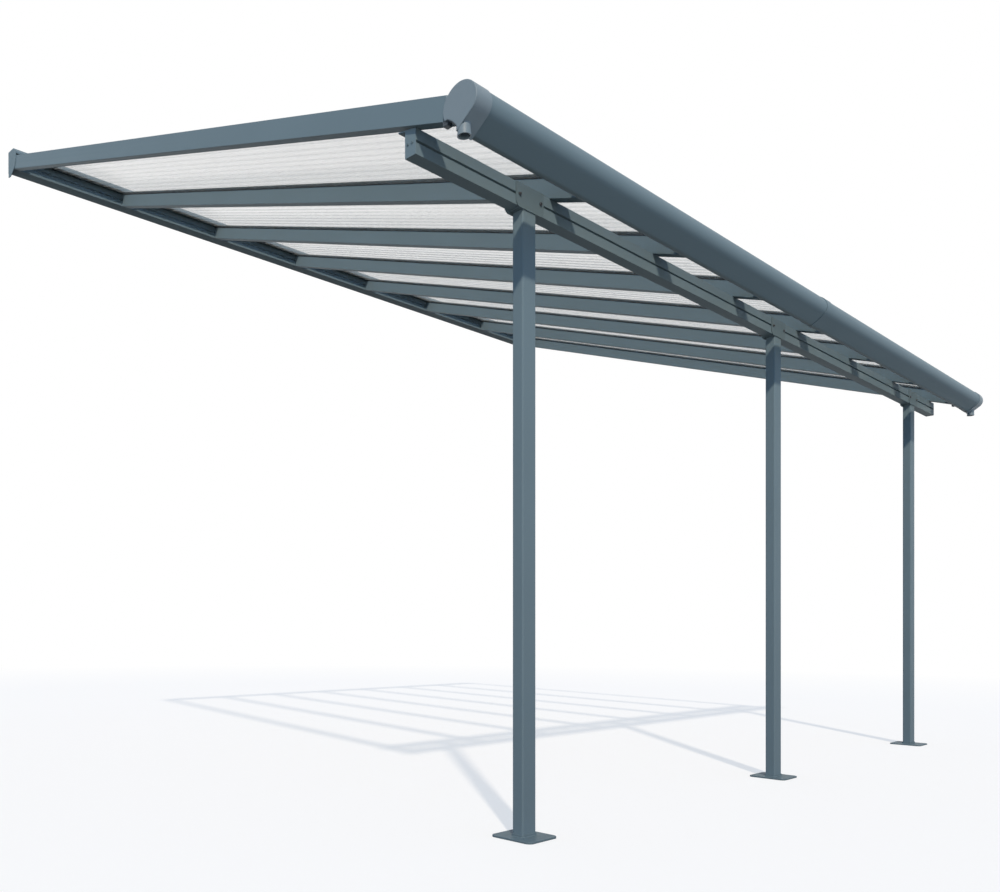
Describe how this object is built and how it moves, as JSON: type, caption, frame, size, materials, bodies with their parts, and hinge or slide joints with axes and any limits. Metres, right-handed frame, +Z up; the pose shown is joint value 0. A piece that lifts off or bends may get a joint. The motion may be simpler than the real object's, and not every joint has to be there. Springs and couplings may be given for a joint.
{
  "type": "patio cover",
  "caption": "Lean-to patio cover with a slate grey aluminium frame, clear twin-wall roof panels, round-nosed gutter and front posts.",
  "frame": {"origin": "on the back face of the wall plate, half way along it and half way up it", "axes": "+X along the wall, to the right as the roof is seen from the garden; +Y from the garden towards the wall; +Z up"},
  "size_m": [4.36, 3.136, 3.0715],
  "materials": {
    "powder_coated_aluminium": "satin slate blue-grey powder coat",
    "clear_twinwall": "clear twin-wall polycarbonate with fine ribs down the slope"
  },
  "bodies": {
    "root": {"wall_plate": "powder_coated_aluminium", "wall_plate_cap_near": "powder_coated_aluminium", "wall_plate_cap_far": "powder_coated_aluminium", "rafter_1": "powder_coated_aluminium", "rafter_2": "powder_coated_aluminium", "rafter_3": "powder_coated_aluminium", "rafter_4": "powder_coated_aluminium", "rafter_5": "powder_coated_aluminium", "rafter_6": "powder_coated_aluminium", "rafter_7": "powder_coated_aluminium", "rafter_8": "powder_coated_aluminium", "glazing_bars": "powder_coated_aluminium", "roof_panel_1": "clear_twinwall", "roof_panel_2": "clear_twinwall", "roof_panel_3": "clear_twinwall", "roof_panel_4": "clear_twinwall", "roof_panel_5": "clear_twinwall", "roof_panel_6": "clear_twinwall", "roof_panel_7": "clear_twinwall", "front_beam": "powder_coated_aluminium", "beam_caps": "powder_coated_aluminium", "post_1": "powder_coated_aluminium", "post_2": "powder_coated_aluminium", "post_3": "powder_coated_aluminium", "base_plate_1": "powder_coated_aluminium", "base_plate_2": "powder_coated_aluminium", "base_plate_3": "powder_coated_aluminium", "post_bracket_1": "powder_coated_aluminium", "post_bracket_2": "powder_coated_aluminium", "post_bracket_3": "powder_coated_aluminium", "gutter_near": "powder_coated_aluminium", "gutter_far": "powder_coated_aluminium", "gutter_joint": "powder_coated_aluminium", "gutter_cap_near": "powder_coated_aluminium", "gutter_cap_far": "powder_coated_aluminium"}
  },
  "joints": []
}
